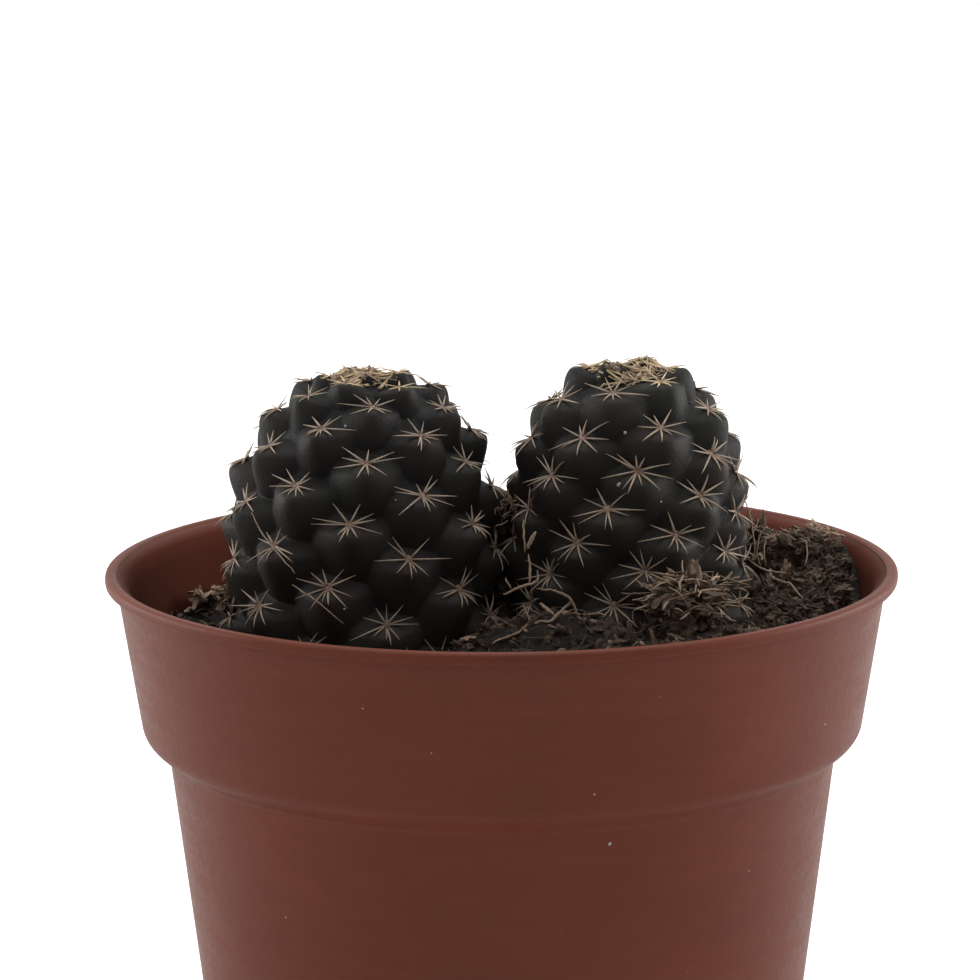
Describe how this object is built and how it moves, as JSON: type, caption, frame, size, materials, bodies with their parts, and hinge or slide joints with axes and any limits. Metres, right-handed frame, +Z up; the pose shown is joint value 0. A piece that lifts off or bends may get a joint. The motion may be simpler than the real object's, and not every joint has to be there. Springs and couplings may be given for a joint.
{
  "type": "potted cactus",
  "caption": "Small potted cactus: two globular spiny heads side by side in dark peat soil, in a plain round brown plastic nursery pot with a deep stepped collar.",
  "frame": {"origin": "middle of the pot's flat base", "axes": "+Z up through the pot, -Y towards the side with the two heads side by side, the wider head on -X"},
  "size_m": [0.085, 0.085, 0.0902],
  "materials": {
    "pot_plastic": "satin",
    "soil": "matte",
    "cactus_skin": "matte",
    "spine": "matte",
    "bark": "matte"
  },
  "bodies": {
    "root": {"bark_chip_left": "bark", "dry_twig": "bark", "left_stem": "cactus_skin", "left_stem_crown_spines": "spine", "left_stem_spines_01": "spine", "left_stem_spines_02": "spine", "left_stem_spines_03": "spine", "left_stem_spines_04": "spine", "left_stem_spines_05": "spine", "left_stem_spines_06": "spine", "left_stem_spines_07": "spine", "left_stem_spines_08": "spine", "left_stem_spines_09": "spine", "left_stem_spines_10": "spine", "left_stem_spines_11": "spine", "left_stem_spines_12": "spine", "left_stem_spines_13": "spine", "left_stem_spines_14": "spine", "left_stem_spines_15": "spine", "left_stem_spines_16": "spine", "left_stem_spines_17": "spine", "left_stem_spines_18": "spine", "left_stem_spines_19": "spine", "left_stem_spines_20": "spine", "left_stem_spines_21": "spine", "left_stem_spines_22": "spine", "peat_clump_back": "soil", "peat_clump_front": "soil", "peat_crumb_right": "soil", "pot": "pot_plastic", "potting_soil": "soil", "right_stem": "cactus_skin", "right_stem_crown_spines": "spine", "right_stem_spines_01": "spine", "right_stem_spines_02": "spine", "right_stem_spines_03": "spine", "right_stem_spines_04": "spine", "right_stem_spines_05": "spine", "right_stem_spines_06": "spine", "right_stem_spines_07": "spine", "right_stem_spines_08": "spine", "right_stem_spines_09": "spine", "right_stem_spines_10": "spine", "right_stem_spines_11": "spine", "right_stem_spines_12": "spine", "right_stem_spines_13": "spine", "right_stem_spines_14": "spine", "right_stem_spines_15": "spine", "right_stem_spines_16": "spine", "right_stem_spines_17": "spine", "right_stem_spines_18": "spine", "right_stem_spines_19": "spine", "right_stem_spines_20": "spine", "right_stem_spines_21": "spine", "right_stem_spines_22": "spine", "root_strand": "bark"}
  },
  "joints": []
}
